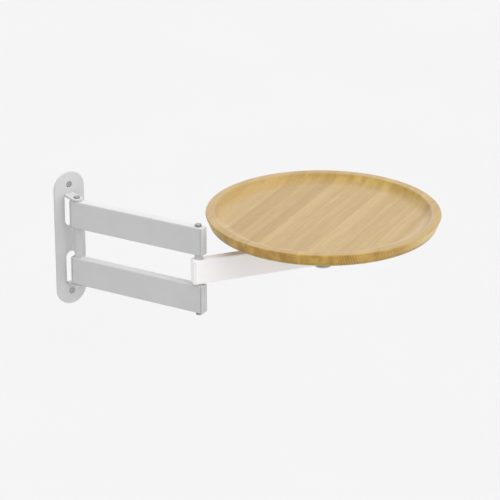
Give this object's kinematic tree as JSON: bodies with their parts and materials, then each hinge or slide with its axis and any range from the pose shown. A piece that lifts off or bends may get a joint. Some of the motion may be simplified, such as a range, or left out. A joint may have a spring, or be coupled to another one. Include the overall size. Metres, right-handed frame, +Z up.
{
  "type": "wall-mounted table",
  "caption": "Small wall-mounted table: a round wooden tray with a raised rim on a jointed metal arm that swings sideways on upright hinge pins from a wall plate with round ends.",
  "frame": {"origin": "middle of the wall plate's back face, midway between its screw holes", "axes": "+Z up, +Y into the wall, +X along the wall to the right as seen from the room"},
  "size_m": [0.4054, 0.3842, 0.183],
  "materials": {
    "grey_powder_coat": "satin powder coat",
    "white_powder_coat": "satin powder coat",
    "grey_plug": "satin",
    "white_plug": "satin",
    "plain_steel": "turned, dull zinc",
    "grey_nylon": "matt",
    "tray_wood": "clear satin oil"
  },
  "bodies": {
    "wall_bracket": {"wall_plate": "grey_powder_coat", "wall_pin": "plain_steel", "wall_pin_cap": "plain_steel", "tab_washers": "grey_nylon"},
    "first_arm": {"upper_arm_tube": "grey_powder_coat", "upper_arm_wall_plug": "grey_plug", "upper_arm_elbow_plug": "grey_plug", "lower_arm_tube": "grey_powder_coat", "lower_arm_wall_plug": "grey_plug", "lower_arm_elbow_plug": "grey_plug", "wall_spacer_sleeve": "grey_plug", "elbow_pin": "plain_steel", "elbow_pin_cap": "plain_steel", "elbow_spacer": "grey_nylon", "elbow_washer": "grey_nylon"},
    "second_arm": {"second_arm_tube": "white_powder_coat", "second_arm_elbow_plug": "white_plug", "second_arm_tray_plug": "white_plug"},
    "tray_swivel": {"tray": "tray_wood", "tray_flange": "plain_steel", "tray_screws": "plain_steel", "tray_spindle": "plain_steel", "spindle_washer": "grey_nylon", "retaining_washer": "plain_steel", "spindle_cap": "plain_steel"}
  },
  "joints": [
    {"name": "wall_swing", "type": "hinge", "parent": "wall_bracket", "child": "first_arm", "pos_m": [0, -0.01982, 0], "axis": [0, 0, 1], "range_deg": [-112.3, 67.7]},
    {"name": "elbow_swing", "type": "hinge", "parent": "first_arm", "child": "second_arm", "pos_m": [0.06906, -0.18821, 0], "axis": [0, 0, 1], "range_deg": [-162, 58]},
    {"name": "tray_spin", "type": "hinge", "parent": "second_arm", "child": "tray_swivel", "pos_m": [0.23274, -0.23422, 0], "axis": [0, 0, 1], "continuous": true}
  ]
}
